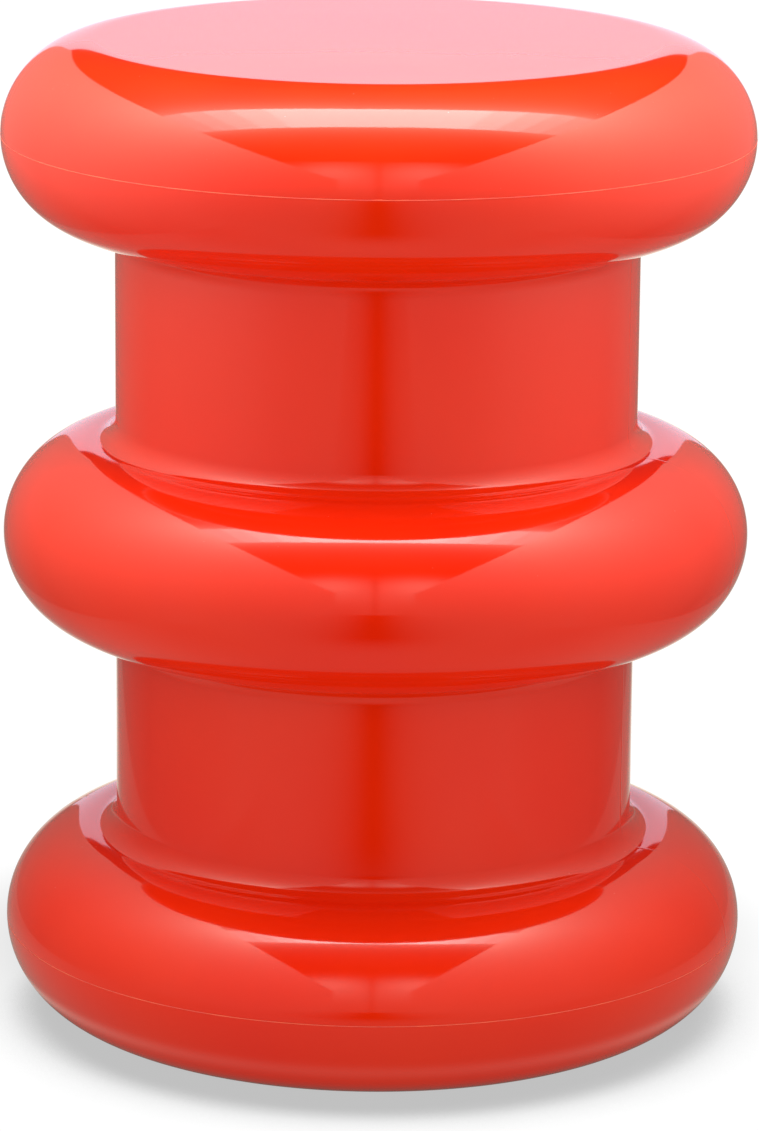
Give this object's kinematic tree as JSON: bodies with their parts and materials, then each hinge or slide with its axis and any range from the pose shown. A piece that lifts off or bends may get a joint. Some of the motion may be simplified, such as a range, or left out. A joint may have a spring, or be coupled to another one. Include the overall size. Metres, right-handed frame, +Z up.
{
  "type": "moulded column stool",
  "caption": "Round red plastic column stool or side table: bulging rings with plain drums between them, a flat seat, and rubber pads under the base.",
  "frame": {"origin": "middle of the floor that the stool stands on, under the centre of the seat", "axes": "+Z up the axis of the column; +X through the middle of foot_pad_1"},
  "size_m": [0.3462, 0.3462, 0.46],
  "materials": {
    "shell": "high gloss moulded",
    "seam": "trimmed adhesive",
    "structure": "fine moulded matte",
    "steel": "zinc plated",
    "pad": "soft matte",
    "plug": "satin moulded"
  },
  "bodies": {
    "root": {"seat_cap": "shell", "body_shell": "shell", "base_pan": "shell", "upper_seam_bead": "seam", "lower_seam_bead": "seam", "seat_stiffener": "structure", "base_stiffener": "structure", "support_tube": "structure", "upper_neck_brace": "structure", "lower_neck_brace": "structure", "base_screws": "steel", "base_washers": "steel", "vent_plug": "plug", "foot_pad_1": "pad", "foot_pad_2": "pad", "foot_pad_3": "pad", "foot_pad_4": "pad", "foot_pad_5": "pad", "foot_pad_6": "pad"}
  },
  "joints": []
}
